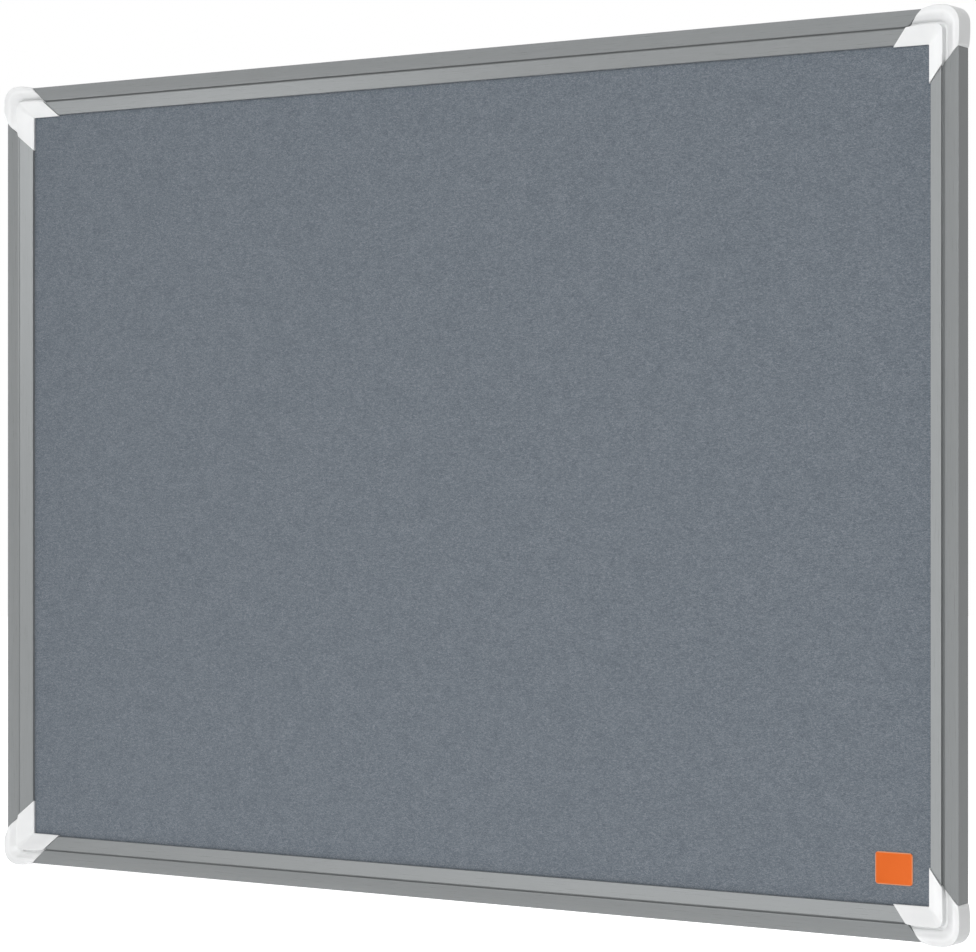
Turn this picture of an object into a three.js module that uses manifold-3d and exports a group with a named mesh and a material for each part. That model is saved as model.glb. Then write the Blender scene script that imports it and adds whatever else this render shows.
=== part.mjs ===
// Felt notice board for a wall: a felt, softboard and backing panel in an aluminium frame with
// moulded plastic corners. Set screws hold the corners in the rails, and four wall clips slide in
// the channels behind the top and bottom rails.
// Millimetres. +X is right, +Z is up, and the board faces -Y. The origin is on the wall plane,
// behind the middle of the board.
import * as THREE from 'three';
import { mergeVertices } from 'three/addons/utils/BufferGeometryUtils.js';
import Module from 'manifold-3d';

const wasm = await Module();
wasm.setup();

// Board
const boardWidth = 600;
const boardHeight = 450;

// Panel, from the wall side to the front
const backingThickness = 0.6;
const coreThickness = 3.6;
const feltThickness = 1.0;
const panelFrontClearance = 0.1;
const panelEdgeClearance = 0.5;

// Rail section. "In" is measured from the board's outer edge towards its middle, and "up" from the
// wall plane towards the front.
const railWall = 1.2;
const rearFlange = 1.0;
const rearFlangeReach = 4.0;
const bandFlatWidth = 3.5;
const bandWidth = 7.9;
const bandFlatFall = 0.17;
const bandCurveFall = 0.73;
const bandCurveSteps = 4;
const grooveWidth = 1.1;
const grooveDepth = 1.54;
const grooveFloorWall = 1.0;
const crestStep = 0.13;
const rampWidth = 7.1;
const rampFall = 3.42;
const rampWall = 1.33;
const lipFace = 1.72;
const lipToeWidth = 1.2;
const channelLipReach = 0.9;

// Corner moulding
const capArm = 18.9;
const capJointGap = 0.15;
const capEdgeStep = 0.33;
const capFlatWidth = 2.7;
const capFlatStep = 0.53;
const capSlopeWidth = 3.3;
const capCrestSetback = 0.7;
const capCrestStep = 0.96;
const capLipStep = 0.08;
const capLipFlare = 0.85;
const capLipFootFlare = 0.5;
const capBackProud = 0.62;
const capBackSwell = 0.58;
const capFrontProud = 0.2;
const capFrontSwell = 1.0;
const capEdgeRise = 1.7;
const capFlatRise = 0.55;
const capCrestShift = 0.55;
const capCrestRise = 0.75;
const capGrowthShare = 0.6;
const capBackRadius = 6.95;
const capFrontRadius = 8.0;
const capCrestRadius = 2.9;
const capInnerRadius = 0.5;
const capArmSteps = 5;
const capArcSteps = 7;
const lugReach = 28;
const lugClearance = 0.2;
const lugRootBite = 0.4;
const lugTaper = 1.2;

// Set screws in the lugs
const screwRadius = 1.5;
const screwLength = 6.5;
const screwTipGap = 0.1;
const screwHoleClearance = 0.2;
const screwFromLugTip = 9;
const socketRadius = 0.85;
const socketDepth = 2;

// Wall clips in the top and bottom channels
const clipLength = 20;
const clipHeadThickness = 2.8;
const clipNeckLength = 5.5;
const clipClearance = 0.2;
const clipHoleRadius = 1.7;
const clipSinkRadius = 2.4;
const clipSinkDepth = 0.9;
const clipFromCorner = 100;

// Plain tab on the felt
const tabWidth = 20;
const tabHeight = 16;
const tabThickness = 0.5;
const tabFromSide = 10;
const tabFromBottom = 9.8;

// Shared by all cuts and round pieces
const cutOverrun = 1;
const roundSides = 24;
const socketSides = 6;

// Heights above the wall plane
const backingTop = rearFlange + backingThickness;
const coreTop = backingTop + coreThickness;
const feltTop = coreTop + feltThickness;
const lipBottom = feltTop + panelFrontClearance;
const lipTop = lipBottom + lipFace;
const crestTop = lipTop + rampFall;
const railDepth = crestTop + crestStep;
const grooveFloor = crestTop - grooveDepth;
const channelCeiling = grooveFloor - grooveFloorWall;

// Distances in from the board's outer edge
const crestIn = bandWidth + grooveWidth;
const lipIn = crestIn + rampWidth;
const webIn = crestIn - grooveWidth / 2;
const channelIn = webIn - railWall;
const channelOut = railWall;
const mouthOut = channelOut + channelLipReach;
const mouthIn = channelIn - channelLipReach;
const channelMiddle = (channelOut + channelIn) / 2;
const panelIn = webIn + panelEdgeClearance;

// Underside of the ramp, parallel to its face, and where it meets the pocket's ceiling
const rampSlope = rampFall / rampWidth;
const toeIn = lipIn - lipToeWidth;
const toeTop = lipTop + rampSlope * lipToeWidth - rampWall;
const pocketIn = crestIn + (crestTop - rampWall - channelCeiling) / rampSlope;

const colours = {
  felt: 0x6f7780,
  core: 0xb08a5c,
  backing: 0x8d8f90,
  aluminium: 0x9a9fa1,
  plastic: 0xf0f1f2,
  steel: 0x8a8c8f,
  nylon: 0xd8d9d6,
  tab: 0xe06a2c,
};

function material(colour, roughness, metalness) {
  return new THREE.MeshStandardMaterial({ color: colour, roughness, metalness });
}

const finishes = {
  felt: material(colours.felt, 0.95, 0),
  core: material(colours.core, 0.9, 0),
  backing: material(colours.backing, 0.6, 0),
  aluminium: material(colours.aluminium, 0.42, 1),
  plastic: material(colours.plastic, 0.35, 0),
  steel: material(colours.steel, 0.35, 1),
  nylon: material(colours.nylon, 0.5, 0),
  tab: material(colours.tab, 0.8, 0),
};

// Solids in and out of manifold-3d, for cuts and joins only

function toManifold(geometry) {
  const bare = geometry.clone();
  bare.deleteAttribute('normal');
  bare.deleteAttribute('uv');
  const merged = mergeVertices(bare);
  const vertProperties = new Float32Array(merged.attributes.position.array);
  const triVerts = new Uint32Array(merged.index.array);
  return new wasm.Manifold(new wasm.Mesh({ numProp: 3, vertProperties, triVerts }));
}

function toGeometry(solid) {
  const mesh = solid.getMesh();
  const geometry = new THREE.BufferGeometry();
  geometry.setAttribute('position', new THREE.BufferAttribute(mesh.vertProperties, 3));
  geometry.setIndex(new THREE.BufferAttribute(mesh.triVerts, 1));
  geometry.computeVertexNormals();
  return geometry;
}

// A closed skin through rings of points that all have the outline's points in the same order
function loft(outline, rings) {
  const count = outline.length;
  const positions = rings.flat().flatMap((point) => point.toArray());
  const indices = [];
  for (let ring = 0; ring + 1 < rings.length; ring += 1) {
    for (let side = 0; side < count; side += 1) {
      const a = ring * count + side;
      const b = ring * count + ((side + 1) % count);
      indices.push(a, b, a + count, b, b + count, a + count);
    }
  }
  const last = (rings.length - 1) * count;
  for (const [a, b, c] of THREE.ShapeUtils.triangulateShape(outline, [])) {
    indices.push(c, b, a, last + a, last + b, last + c);
  }
  const geometry = new THREE.BufferGeometry();
  geometry.setAttribute('position', new THREE.Float32BufferAttribute(positions, 3));
  geometry.setIndex(indices);
  return geometry;
}

// A box between two corners, given as along, in and up
function block([along0, in0, up0], [along1, in1, up1]) {
  const geometry = new THREE.BoxGeometry(along1 - along0, up1 - up0, in1 - in0);
  geometry.translate((along0 + along1) / 2, -(up0 + up1) / 2, -(in0 + in1) / 2);
  return geometry;
}

// A bar that stands out from the wall plane, at a place along and in. Its radius can taper.
function bar({ radius, topRadius = radius, sides = roundSides, along = 0, inward = 0, up0, up1 }) {
  const geometry = new THREE.CylinderGeometry(radius, topRadius, up1 - up0, sides);
  geometry.translate(along, -(up0 + up1) / 2, -inward);
  return geometry;
}

// Outlines are lists of points, each as in and up

// Front of a rail's section, from the outer edge to the lip
function railFront() {
  const points = [[0, railDepth]];
  for (let step = 0; step <= bandCurveSteps; step += 1) {
    const share = step / bandCurveSteps;
    const inward = bandFlatWidth + (bandWidth - bandFlatWidth) * share;
    points.push([inward, railDepth - bandFlatFall - bandCurveFall * share * share]);
  }
  points.push([bandWidth, grooveFloor], [crestIn, grooveFloor], [crestIn, crestTop], [lipIn, lipTop]);
  return points;
}

// The slot that holds the panel's edge, behind the ramp
function slotOutline() {
  return [
    [toeIn, lipBottom],
    [toeIn, toeTop],
    [pocketIn, channelCeiling],
    [webIn, channelCeiling],
    [webIn, rearFlange],
    [webIn + rearFlangeReach, rearFlange],
    [webIn + rearFlangeReach, 0],
  ];
}

// A rail's channel, with the two lips of its mouth
function channelOutline() {
  return [
    [mouthIn, 0],
    [mouthIn, rearFlange],
    [channelIn, rearFlange],
    [channelIn, channelCeiling],
    [channelOut, channelCeiling],
    [channelOut, rearFlange],
    [mouthOut, rearFlange],
    [mouthOut, 0],
  ];
}

// A corner moulding's hollow, as wide as the channel and open behind
function hollowOutline() {
  return [
    [channelIn, 0],
    [channelIn, channelCeiling],
    [channelOut, channelCeiling],
    [channelOut, 0],
  ];
}

// A rail along +X whose outer edge is on Z = 0, with both ends mitred and stopping at the corners
function railGeometry(length) {
  const back = [[lipIn, lipBottom], ...slotOutline(), ...channelOutline(), [0, 0]];
  const section = [...railFront(), ...back];
  const outline = section.map(([inward, up]) => new THREE.Vector2(up, inward));
  const reach = length / 2 - capArm - capJointGap;
  const rings = [-1, 1].map((side) =>
    section.map(([inward, up]) => new THREE.Vector3(side * (reach - inward), -up, -inward)),
  );
  return loft(outline, rings);
}

// A corner moulding's section at its mitred end. Each point has the radius that it is rounded to at
// the corner and how far out it stands, and then how much it shifts outward and rises in growing.
function capSection() {
  const crest = crestIn - capCrestSetback;
  const slopeFoot = capFlatWidth + capSlopeWidth;
  const frontRadius = (inward) =>
    THREE.MathUtils.lerp(capFrontRadius, capCrestRadius, inward / crest);
  const bend = (radius, proud = 0, shift = 0, rise = 0) => ({ radius, proud, shift, rise });
  const bent = (points) =>
    points.map(([inward, up]) => ({
      inward,
      up,
      ...bend(inward > mouthOut ? capInnerRadius : capBackRadius - inward),
    }));
  return [
    {
      inward: 0,
      up: railDepth + capEdgeStep,
      ...bend(capFrontRadius, capFrontProud, capFrontSwell, capEdgeRise),
    },
    {
      inward: capFlatWidth,
      up: railDepth + capFlatStep,
      ...bend(frontRadius(capFlatWidth), 0, 0, capFlatRise),
    },
    { inward: slopeFoot, up: grooveFloor, ...bend(frontRadius(slopeFoot)) },
    { inward: crest, up: grooveFloor, ...bend(capCrestRadius, 0, capCrestShift) },
    {
      inward: crest,
      up: crestTop + capCrestStep,
      ...bend(capCrestRadius, 0, capCrestShift, capCrestRise),
    },
    { inward: lipIn + capLipFlare, up: lipTop + capLipStep, ...bend(capInnerRadius) },
    { inward: lipIn + capLipFootFlare, up: lipBottom, ...bend(capInnerRadius) },
    ...bent([...slotOutline(), ...hollowOutline()]),
    { inward: 0, up: 0, ...bend(capBackRadius, capBackProud, capBackSwell) },
  ];
}

// Places along a corner's path, from the mitred end of the arm along -Z round to the other arm's
function cornerStations() {
  const stations = [];
  for (let step = 0; step < capArmSteps; step += 1) {
    stations.push({ arm: step / capArmSteps, turn: 1 });
  }
  for (let step = capArcSteps; step >= 0; step -= 1) {
    stations.push({ arm: 1, turn: step / capArcSteps });
  }
  for (let step = capArmSteps - 1; step >= 0; step -= 1) {
    stations.push({ arm: step / capArmSteps, turn: 0 });
  }
  return stations;
}

// Where a point of the section is at a place along the corner's path. The corner is at the origin,
// and its arms run along +X and -Z. The moulding grows along each arm, from the mitred end on, and
// is full grown after a share of the arm.
function cornerPoint(point, { arm, turn }) {
  const growth = Math.sin((Math.min(1, arm / capGrowthShare) * Math.PI) / 2);
  const outward = point.proud + growth * point.shift;
  const up = point.up + growth * point.rise;
  const centre = point.inward + point.radius;
  if (arm < 1) {
    const inward = point.inward - outward;
    const along = THREE.MathUtils.lerp(capArm + inward, centre, arm);
    return turn === 0
      ? new THREE.Vector3(along, -up, -inward)
      : new THREE.Vector3(inward, -up, -along);
  }
  const angle = (turn * Math.PI) / 2;
  const radius = point.radius + outward;
  return new THREE.Vector3(centre - radius * Math.sin(angle), -up, radius * Math.cos(angle) - centre);
}

// A block along +X through rings of an outline that runs between the channel's walls, moved into
// them or back from them by an inset. Each ring is an inset and where it lies for a given inward.
function channelBlock(rings) {
  const corners = [
    { inward: channelIn, up: rearFlange, sideSign: -1, upSign: 1 },
    { inward: channelIn, up: channelCeiling, sideSign: -1, upSign: -1 },
    { inward: channelOut, up: channelCeiling, sideSign: 1, upSign: -1 },
    { inward: channelOut, up: rearFlange, sideSign: 1, upSign: 1 },
  ];
  const outline = corners.map(({ inward, up }) => new THREE.Vector2(inward, up));
  const points = rings.map(({ inset, along }) =>
    corners.map(({ inward, up, sideSign, upSign }) => {
      const place = inward + sideSign * inset;
      return new THREE.Vector3(along(place), -(up + upSign * inset), -place);
    }),
  );
  return loft(outline, points);
}

// One arm's lug: a root that fills the moulding's hollow up to the mitred end, and a tongue with a
// chamfered tip that goes into the rail's channel
function lugSolid() {
  const start = capBackRadius;
  const end = capArm + lugReach;
  const root = channelBlock([
    { inset: -lugRootBite, along: (inward) => capArm + inward },
    { inset: -lugRootBite, along: () => start },
  ]);
  const tongue = channelBlock([
    { inset: lugClearance + lugTaper, along: () => end },
    { inset: lugClearance, along: () => end - lugTaper },
    { inset: lugClearance, along: () => start },
  ]);
  return toManifold(root).add(toManifold(tongue));
}

const screwAlong = capArm + lugReach - screwFromLugTip;
const screwTop = channelCeiling - screwTipGap;
const screwBottom = screwTop - screwLength;

// The same shape on the corner's other arm: the arms mirror each other across the diagonal
function onOtherArm(solid) {
  return solid.rotate([0, 90, 0]).mirror([1, 0, 0]);
}

function capGeometry() {
  const section = capSection();
  const stations = cornerStations();
  const endRing = section.map((point) => cornerPoint(point, stations[0]));
  const outline = endRing.map(({ x, y }) => new THREE.Vector2(-y, x));
  const rings = stations.map((station) => section.map((point) => cornerPoint(point, station)));
  const body = toManifold(loft(outline, rings));
  const holeRadius = screwRadius + screwHoleClearance;
  const hole = bar({
    radius: holeRadius,
    up0: -cutOverrun,
    up1: channelCeiling + cutOverrun,
    along: screwAlong,
    inward: channelMiddle,
  });
  const lug = lugSolid().subtract(toManifold(hole));
  return toGeometry(body.add(lug).add(onOtherArm(lug)));
}

function screwGeometry() {
  const shank = bar({ radius: screwRadius, up0: screwBottom, up1: screwTop });
  const socket = bar({
    radius: socketRadius,
    sides: socketSides,
    up0: screwBottom - cutOverrun,
    up1: screwBottom + socketDepth,
  });
  return toGeometry(toManifold(shank).subtract(toManifold(socket)));
}

// A block with two necks that pass the channel's mouth to the wall, and a sunk hole for a screw
function clipGeometry() {
  const half = clipLength / 2;
  const headBottom = rearFlange + clipClearance;
  const headTop = headBottom + clipHeadThickness;
  const headSide = (channelIn - channelOut) / 2 - clipClearance;
  const neckSide = (mouthIn - mouthOut) / 2 - clipClearance;
  const head = toManifold(block([-half, -headSide, headBottom], [half, headSide, headTop]));
  const necks = [-half, half - clipNeckLength].map((start) =>
    toManifold(block([start, -neckSide, 0], [start + clipNeckLength, neckSide, headTop])),
  );
  const hole = bar({ radius: clipHoleRadius, up0: -cutOverrun, up1: headTop + cutOverrun });
  const sinkBottom = headTop - clipSinkDepth;
  const sink = bar({
    radius: clipSinkRadius,
    topRadius: clipHoleRadius,
    up0: sinkBottom,
    up1: headTop,
  });
  const solid = necks.reduce((whole, neck) => whole.add(neck), head);
  return toGeometry(solid.subtract(toManifold(hole)).subtract(toManifold(sink)));
}

function panelGeometry(up0, up1) {
  const width = boardWidth - 2 * panelIn;
  const height = boardHeight - 2 * panelIn;
  const geometry = new THREE.BoxGeometry(width, up1 - up0, height);
  geometry.translate(0, -(up0 + up1) / 2, 0);
  return geometry;
}

function tabGeometry() {
  const right = boardWidth / 2 - lipIn - tabFromSide;
  const bottom = -boardHeight / 2 + lipIn + tabFromBottom;
  const geometry = new THREE.BoxGeometry(tabWidth, tabThickness, tabHeight);
  geometry.translate(right - tabWidth / 2, -feltTop - tabThickness / 2, bottom + tabHeight / 2);
  return geometry;
}

function named(name, geometry, finish) {
  const mesh = new THREE.Mesh(geometry, finish);
  mesh.name = name;
  return mesh;
}

const group = new THREE.Group();
group.add(named('backing_sheet', panelGeometry(rearFlange, backingTop), finishes.backing));
group.add(named('core_board', panelGeometry(backingTop, coreTop), finishes.core));
group.add(named('felt_face', panelGeometry(coreTop, feltTop), finishes.felt));
group.add(named('plain_tab', tabGeometry(), finishes.tab));

// Each side is a group turned about Y, whose rail runs along X with its outer edge on Z = 0. Its
// clips are given by the way along X from the rail's middle.
const sides = [
  { name: 'top', length: boardWidth, place: [0, boardHeight / 2], clips: { left: -1, right: 1 } },
  { name: 'right', length: boardHeight, place: [boardWidth / 2, 0], clips: {} },
  { name: 'bottom', length: boardWidth, place: [0, -boardHeight / 2], clips: { left: 1, right: -1 } },
  { name: 'left', length: boardHeight, place: [-boardWidth / 2, 0], clips: {} },
];
sides.forEach(({ name, length, place, clips }, index) => {
  const side = new THREE.Group();
  side.position.set(place[0], 0, place[1]);
  side.rotation.y = (index * Math.PI) / 2;
  side.add(named(`rail_${name}`, railGeometry(length), finishes.aluminium));
  for (const [end, direction] of Object.entries(clips)) {
    const clip = named(`wall_clip_${name}_${end}`, clipGeometry(), finishes.nylon);
    clip.position.set(direction * (length / 2 - clipFromCorner), 0, -channelMiddle);
    side.add(clip);
  }
  group.add(side);
});

// Each corner is a group turned about Y, with the board's corner at its origin
const corners = [
  { name: 'top_left', place: [-boardWidth / 2, boardHeight / 2] },
  { name: 'top_right', place: [boardWidth / 2, boardHeight / 2] },
  { name: 'bottom_right', place: [boardWidth / 2, -boardHeight / 2] },
  { name: 'bottom_left', place: [-boardWidth / 2, -boardHeight / 2] },
];
corners.forEach(({ name, place }, index) => {
  const corner = new THREE.Group();
  corner.position.set(place[0], 0, place[1]);
  corner.rotation.y = (index * Math.PI) / 2;
  corner.add(named(`corner_cap_${name}`, capGeometry(), finishes.plastic));
  const screwPlaces = [
    [screwAlong, -channelMiddle],
    [channelMiddle, -screwAlong],
  ];
  screwPlaces.forEach(([x, z], arm) => {
    const screw = named(`corner_screw_${name}_${arm + 1}`, screwGeometry(), finishes.steel);
    screw.position.set(x, 0, z);
    corner.add(screw);
  });
  group.add(corner);
});

export default group;
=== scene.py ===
import math

import bmesh
import bpy
from mathutils import Matrix, Vector, noise


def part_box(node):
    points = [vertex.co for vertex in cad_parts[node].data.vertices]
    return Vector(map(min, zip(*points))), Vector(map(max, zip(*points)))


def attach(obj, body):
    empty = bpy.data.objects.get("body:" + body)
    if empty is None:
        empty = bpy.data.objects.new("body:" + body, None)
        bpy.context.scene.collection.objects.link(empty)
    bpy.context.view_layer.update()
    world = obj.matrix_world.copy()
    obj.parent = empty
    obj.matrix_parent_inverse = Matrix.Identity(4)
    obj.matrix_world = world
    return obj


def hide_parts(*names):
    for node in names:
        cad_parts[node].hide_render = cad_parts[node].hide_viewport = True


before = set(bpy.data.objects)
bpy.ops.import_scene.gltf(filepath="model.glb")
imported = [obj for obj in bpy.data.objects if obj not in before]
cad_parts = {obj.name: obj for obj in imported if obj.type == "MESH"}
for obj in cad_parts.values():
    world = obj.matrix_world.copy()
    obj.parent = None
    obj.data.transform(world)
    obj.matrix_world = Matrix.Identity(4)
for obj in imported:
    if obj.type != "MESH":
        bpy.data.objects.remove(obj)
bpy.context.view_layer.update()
mm = 0.001
print("frame loaded:", len(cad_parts), "nodes")

# The board's own measures, in mm, read off the frame. "u" is the way in from the board's outer edge
# and "n" the height above the wall plane.
topLow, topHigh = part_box("rail_top")
rightLow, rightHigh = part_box("rail_right")
feltLow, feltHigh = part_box("felt_face")
tabLow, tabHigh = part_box("plain_tab")
board = {
    "halfWidth": rightHigh.x / mm,
    "halfHeight": topHigh.z / mm,
    "railDepth": -topLow.y / mm,
    "railWidth": (topHigh.z - topLow.z) / mm,
    "mitre": (rightHigh.x - topHigh.x) / mm,
}


# Camera

cameraSettings = {
    "place": (0.8999, -1.36867, 0.0),
    "turnDegrees": 32.5755,
    "lens": 113.03,
    "sensor": 36.0,
    "shiftY": -0.00034,
}


def makeCamera():
    data = bpy.data.cameras.new("camera")
    data.lens = cameraSettings["lens"]
    data.sensor_width = cameraSettings["sensor"]
    data.shift_y = cameraSettings["shiftY"]
    camera = bpy.data.objects.new("camera", data)
    bpy.context.scene.collection.objects.link(camera)
    camera.location = cameraSettings["place"]
    camera.rotation_euler = (math.radians(90), 0, math.radians(cameraSettings["turnDegrees"]))
    bpy.context.scene.camera = camera


makeCamera()
print("camera placed")


# Small helpers for shader nodes. Nearly all of a noise texture's values lie in the noise span.

noiseSpan = (0.3, 0.7)


def newMaterial(name):
    material = bpy.data.materials.new(name)
    material.use_nodes = True
    tree = material.node_tree
    tree.nodes.clear()
    output = tree.nodes.new("ShaderNodeOutputMaterial")
    surface = tree.nodes.new("ShaderNodeBsdfPrincipled")
    tree.links.new(surface.outputs["BSDF"], output.inputs["Surface"])
    return material, tree, surface


def addNode(tree, kind, inputs=None, **settings):
    node = tree.nodes.new(kind)
    for key, value in settings.items():
        setattr(node, key, value)
    for key, value in (inputs or {}).items():
        if isinstance(value, bpy.types.NodeSocket):
            tree.links.new(value, node.inputs[key])
        else:
            node.inputs[key].default_value = value
    return node


def objectPlace(tree, scale=(1000, 1000, 1000)):
    # Object coordinates in mm, or stretched for one pattern
    coordinates = addNode(tree, "ShaderNodeTexCoord")
    mapping = addNode(tree, "ShaderNodeMapping", {"Vector": coordinates.outputs["Object"]})
    mapping.inputs["Scale"].default_value = scale
    return mapping.outputs["Vector"]


def noiseAt(tree, place, scale, detail=2.0, roughness=0.5, distortion=0.0):
    inputs = {
        "Vector": place, "Scale": scale, "Detail": detail,
        "Roughness": roughness, "Distortion": distortion,
    }
    return addNode(tree, "ShaderNodeTexNoise", inputs).outputs["Fac"]


def spread(tree, value, low, high, toLow=0.0, toHigh=1.0):
    inputs = {"Value": value, "From Min": low, "From Max": high, "To Min": toLow, "To Max": toHigh}
    return addNode(tree, "ShaderNodeMapRange", inputs).outputs["Result"]


def maths(tree, kind, first, second):
    node = addNode(tree, "ShaderNodeMath", operation=kind)
    for index, value in enumerate((first, second)):
        if isinstance(value, bpy.types.NodeSocket):
            tree.links.new(value, node.inputs[index])
        else:
            node.inputs[index].default_value = value
    return node.outputs["Value"]


def weighted(tree, *parts):
    # Adds up (value, share) parts
    total = None
    for value, share in parts:
        part = maths(tree, "MULTIPLY", value, share)
        total = part if total is None else maths(tree, "ADD", total, part)
    return total


def blendColours(tree, share, first, second):
    node = addNode(tree, "ShaderNodeMix", data_type="RGBA")
    sockets = {"Factor_Float": share, "A_Color": first, "B_Color": second}
    for socket in node.inputs:
        if socket.identifier in sockets:
            value = sockets[socket.identifier]
            if isinstance(value, bpy.types.NodeSocket):
                tree.links.new(value, socket)
            else:
                socket.default_value = value
    return next(socket for socket in node.outputs if socket.identifier == "Result_Color")


def bumpFrom(tree, surface, height, strength, distance):
    inputs = {"Height": height, "Strength": strength, "Distance": distance * mm}
    bump = addNode(tree, "ShaderNodeBump", inputs)
    tree.links.new(bump.outputs["Normal"], surface.inputs["Normal"])


def colour(red, green, blue):
    return (red, green, blue, 1.0)


def toned(base, share):
    # A colour made darker or lighter
    return colour(*(min(1, part * share) for part in base))


# Shared effects. Each is a group that puts out masks and heights only.

def newGroup(name, inputs, outputs):
    group = bpy.data.node_groups.new(name, "ShaderNodeTree")
    for label, kind, value in inputs:
        socket = group.interface.new_socket(name=label, in_out="INPUT", socket_type=kind)
        if value is not None:
            socket.default_value = value
    for label in outputs:
        group.interface.new_socket(name=label, in_out="OUTPUT", socket_type="NodeSocketFloat")
    start = group.nodes.new("NodeGroupInput")
    end = group.nodes.new("NodeGroupOutput")
    return group, start, end


def makeFineGrain():
    # Two scales of even grain: a mask for tone and a height for bump
    floatKind = "NodeSocketFloat"
    group, start, end = newGroup(
        "fineGrain",
        [("Place", "NodeSocketVector", None), ("Coarse", floatKind, 0.2), ("Fine", floatKind, 4.0)],
        ["Tone", "Height"],
    )
    coarse = noiseAt(group, start.outputs["Place"], start.outputs["Coarse"], 3.0, 0.55)
    fine = noiseAt(group, start.outputs["Place"], start.outputs["Fine"], 2.0, 0.6)
    group.links.new(spread(group, coarse, *noiseSpan), end.inputs["Tone"])
    group.links.new(fine, end.inputs["Height"])
    return group


def makeEdgeWear():
    # Where edges stand out, so that they can be a little lighter
    group, start, end = newGroup(
        "edgeWear",
        [("Low", "NodeSocketFloat", 0.52), ("High", "NodeSocketFloat", 0.62)],
        ["Mask"],
    )
    geometry = addNode(group, "ShaderNodeNewGeometry")
    mask = spread(
        group, geometry.outputs["Pointiness"], start.outputs["Low"], start.outputs["High"]
    )
    group.links.new(mask, end.inputs["Mask"])
    return group


# Each layer of strokes has its turn and how far it is drawn out
fibreLook = {
    "strokes": ((0.3, 0.38), (-0.55, 0.42), (0.05, 0.36)),
    "toneShares": {"clump": 0.07, "crossed": 0.63, "fuzz": 0.3},
    "heightShares": {"crossed": 0.6, "fuzz": 0.4},
    "toneSpan": (0.5, 0.625),
}


def makeFibres():
    # Matted fibres: soft clumps, short bent strokes that cross each other, and fine fuzz
    floatKind = "NodeSocketFloat"
    group, start, end = newGroup(
        "fibres",
        [("Place", "NodeSocketVector", None), ("Clump", floatKind, 0.4), ("Stroke", floatKind, 1.1),
         ("Fuzz", floatKind, 5.0)],
        ["Tone", "Height"],
    )
    place = start.outputs["Place"]
    layers = {"clump": noiseAt(group, place, start.outputs["Clump"], 3.0, 0.62, 0.6)}
    strokes = []
    for turn, stretch in fibreLook["strokes"]:
        mapping = addNode(group, "ShaderNodeMapping", {"Vector": place})
        mapping.inputs["Rotation"].default_value = (0, turn, 0)
        mapping.inputs["Scale"].default_value = (stretch, 1, 1)
        strokes.append(
            noiseAt(group, mapping.outputs["Vector"], start.outputs["Stroke"], 1.5, 0.55, 1.6)
        )
    crossed = maths(group, "MAXIMUM", strokes[0], strokes[1])
    layers["crossed"] = maths(group, "MAXIMUM", crossed, strokes[2])
    layers["fuzz"] = noiseAt(group, place, start.outputs["Fuzz"], 3.0, 0.7, 0.8)
    tone, height = (
        weighted(group, *((layers[layer], share) for layer, share in fibreLook[shares].items()))
        for shares in ("toneShares", "heightShares")
    )
    group.links.new(spread(group, tone, *fibreLook["toneSpan"]), end.inputs["Tone"])
    group.links.new(height, end.inputs["Height"])
    return group


fineGrain = makeFineGrain()
edgeWear = makeEdgeWear()
fibres = makeFibres()


def placeGroup(tree, group, **inputs):
    node = tree.nodes.new("ShaderNodeGroup")
    node.node_tree = group
    for key, value in inputs.items():
        if isinstance(value, bpy.types.NodeSocket):
            tree.links.new(value, node.inputs[key])
        else:
            node.inputs[key].default_value = value
    return node


print("shared effects made")


# Finishes

feltFinish = {
    "dark": (0.098, 0.117, 0.139),
    "light": (0.2, 0.222, 0.249),
    "clump": 0.12,
    "stroke": 1.75,
    "fuzz": 2.6,
    "roughness": 0.95,
    "gloss": 0.15,
    "sheen": 0.08,
    "sheenRoughness": 0.6,
    "sheenTint": (0.8, 0.85, 0.9),
    "bump": 0.55,
    "depth": 0.35,
}


def makeFelt():
    material, tree, surface = newMaterial("grey felt")
    look = placeGroup(
        tree, fibres, Place=objectPlace(tree), Clump=feltFinish["clump"],
        Stroke=feltFinish["stroke"], Fuzz=feltFinish["fuzz"],
    )
    base = blendColours(
        tree, look.outputs["Tone"], colour(*feltFinish["dark"]), colour(*feltFinish["light"])
    )
    tree.links.new(base, surface.inputs["Base Color"])
    surface.inputs["Roughness"].default_value = feltFinish["roughness"]
    surface.inputs["Specular IOR Level"].default_value = feltFinish["gloss"]
    surface.inputs["Sheen Weight"].default_value = feltFinish["sheen"]
    surface.inputs["Sheen Roughness"].default_value = feltFinish["sheenRoughness"]
    surface.inputs["Sheen Tint"].default_value = colour(*feltFinish["sheenTint"])
    bumpFrom(tree, surface, look.outputs["Height"], feltFinish["bump"], feltFinish["depth"])
    return material


aluminiumFinish = {
    "colour": (0.222, 0.232, 0.235),
    "lineTone": 0.05,
    "linesPerMm": 5.0,
    "lineLength": 0.01,
    "grain": {"Coarse": 0.05, "Fine": 6.0},
    "shadeTone": 0.8,
    "shadeShare": 0.12,
    "wornTone": 1.5,
    "wornShare": 0.35,
    "wornSpan": {"Low": 0.51, "High": 0.6},
    # Painted shade on the rail's outer side, and the facing over which it comes in
    "outerSidePaintedShade": 0.7,
    "outerSidePaintedShadeSpan": (0.9, 0.99),
    "metallic": 0.35,
    "gloss": 0.2,
    "roughness": (0.27, 0.33),
    "bump": 0.12,
    "depth": 0.03,
}


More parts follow.
